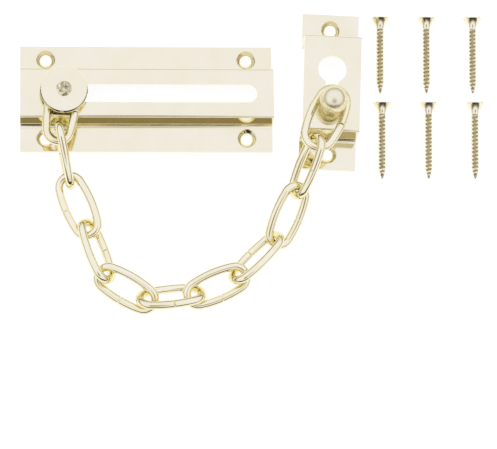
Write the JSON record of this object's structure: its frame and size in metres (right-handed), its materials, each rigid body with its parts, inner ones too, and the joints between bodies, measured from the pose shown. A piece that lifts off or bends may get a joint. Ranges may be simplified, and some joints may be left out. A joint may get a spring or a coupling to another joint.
{
  "type": "door chain guard",
  "caption": "Door chain guard laid flat: slotted slide plate with a disc-headed slider, oval-link chain, raised anchor bracket with a ball stud, and loose wood screws.",
  "frame": {"origin": "middle of the slide plate's back face, at the centre of its four screw holes", "axes": "+Z out of the plates, +X along the slot towards the anchor bracket, +Y up the door"},
  "size_m": [0.1924, 0.1279, 0.0328],
  "materials": {
    "plate_brass": "polished",
    "turned_brass": "polished",
    "chain_wire": "bright plated",
    "screw_plating": "plated"
  },
  "bodies": {
    "bracket": {"anchor_bracket": "plate_brass"},
    "stud": {"ball_stud": "turned_brass"},
    "link_11": {"chain_link_11": "chain_wire"},
    "link_10": {"chain_link_10": "chain_wire"},
    "link_09": {"chain_link_09": "chain_wire"},
    "link_08": {"chain_link_08": "chain_wire"},
    "link_07": {"chain_link_07": "chain_wire"},
    "link_06": {"chain_link_06": "chain_wire"},
    "link_05": {"chain_link_05": "chain_wire"},
    "link_04": {"chain_link_04": "chain_wire"},
    "link_03": {"chain_link_03": "chain_wire"},
    "link_02": {"chain_link_02": "chain_wire"},
    "link_01": {"chain_link_01": "chain_wire"},
    "slider": {"slider_stud": "turned_brass", "slider_disc": "turned_brass"},
    "plate": {"slide_plate": "plate_brass"},
    "screw_1": {"wood_screw_1": "screw_plating"},
    "screw_2": {"wood_screw_2": "screw_plating"},
    "screw_3": {"wood_screw_3": "screw_plating"},
    "screw_4": {"wood_screw_4": "screw_plating"},
    "screw_5": {"wood_screw_5": "screw_plating"},
    "screw_6": {"wood_screw_6": "screw_plating"}
  },
  "joints": [
    {"name": "stud_travel", "type": "slide", "parent": "bracket", "child": "stud", "axis": [0.0454, 0.999, 0], "range_m": [0, 0.002]},
    {"name": "link_11", "type": "hinge", "parent": "stud", "child": "link_11", "pos_m": [0.07538, -0.00621, 0.01936], "axis": [0, 0, 1], "range_deg": [-12, 30]},
    {"name": "link_10", "type": "hinge", "parent": "link_11", "child": "link_10", "pos_m": [0.06745, -0.02413, 0.01936], "axis": [-0.8452, 0.1053, 0.524], "range_deg": [-30, 35]},
    {"name": "link_09", "type": "hinge", "parent": "link_10", "child": "link_09", "pos_m": [0.06039, -0.04249, 0.0106], "axis": [0.3429, -0.3938, 0.8529], "range_deg": [-35, 40]},
    {"name": "link_08", "type": "hinge", "parent": "link_09", "child": "link_08", "pos_m": [0.0513, -0.0618, 0.00565], "axis": [0.5496, -0.5648, -0.6156], "range_deg": [-35, 12]},
    {"name": "link_07", "type": "hinge", "parent": "link_08", "child": "link_07", "pos_m": [0.03485, -0.07668, 0.00606], "axis": [-0.0566, 0.2204, -0.9738], "range_deg": [-40, 7]},
    {"name": "link_06", "type": "hinge", "parent": "link_07", "child": "link_06", "pos_m": [0.01585, -0.08376, 0.00518], "axis": [0.001, -0.7139, -0.7002], "range_deg": [-35, 9]},
    {"name": "link_05", "type": "hinge", "parent": "link_06", "child": "link_05", "pos_m": [-0.00362, -0.08479, 0.00756], "axis": [-0.2068, -0.3128, 0.927], "range_deg": [-7, 40]},
    {"name": "link_04", "type": "hinge", "parent": "link_05", "child": "link_04", "pos_m": [-0.01926, -0.07286, 0.00675], "axis": [-0.7024, -0.3129, -0.6393], "range_deg": [-35, 12]},
    {"name": "link_03", "type": "hinge", "parent": "link_04", "child": "link_03", "pos_m": [-0.02534, -0.05291, 0.00562], "axis": [-0.1714, -0.1284, 0.9768], "range_deg": [-9, 40]},
    {"name": "link_02", "type": "hinge", "parent": "link_03", "child": "link_02", "pos_m": [-0.03277, -0.03411, 0.00727], "axis": [-0.9781, -0.2079, 0], "range_deg": [-35, 35]},
    {"name": "link_01", "type": "hinge", "parent": "link_02", "child": "link_01", "pos_m": [-0.03652, -0.01458, 0.01601], "axis": [0, 0, -1], "range_deg": [-35, 35]},
    {"name": "slider_pivot", "type": "hinge", "parent": "link_01", "child": "slider", "pos_m": [-0.0342, 0, 0.01445], "axis": [0, 0, -1], "range_deg": [-28, 30]},
    {"name": "plate_slide", "type": "slide", "parent": "slider", "child": "plate", "axis": [-1, 0, 0], "range_m": [0, 0.0756]},
    {"name": "screw_1_lift", "type": "slide", "parent": "bracket", "child": "screw_1", "axis": [0, 0, 1], "range_m": [0, 0.03]},
    {"name": "screw_2_lift", "type": "slide", "parent": "bracket", "child": "screw_2", "axis": [0, 0, 1], "range_m": [0, 0.03]},
    {"name": "screw_3_lift", "type": "slide", "parent": "bracket", "child": "screw_3", "axis": [0, 0, 1], "range_m": [0, 0.03]},
    {"name": "screw_4_lift", "type": "slide", "parent": "bracket", "child": "screw_4", "axis": [0, 0, 1], "range_m": [0, 0.03]},
    {"name": "screw_5_lift", "type": "slide", "parent": "bracket", "child": "screw_5", "axis": [0, 0, 1], "range_m": [0, 0.03]},
    {"name": "screw_6_lift", "type": "slide", "parent": "bracket", "child": "screw_6", "axis": [0, 0, 1], "range_m": [0, 0.03]}
  ]
}
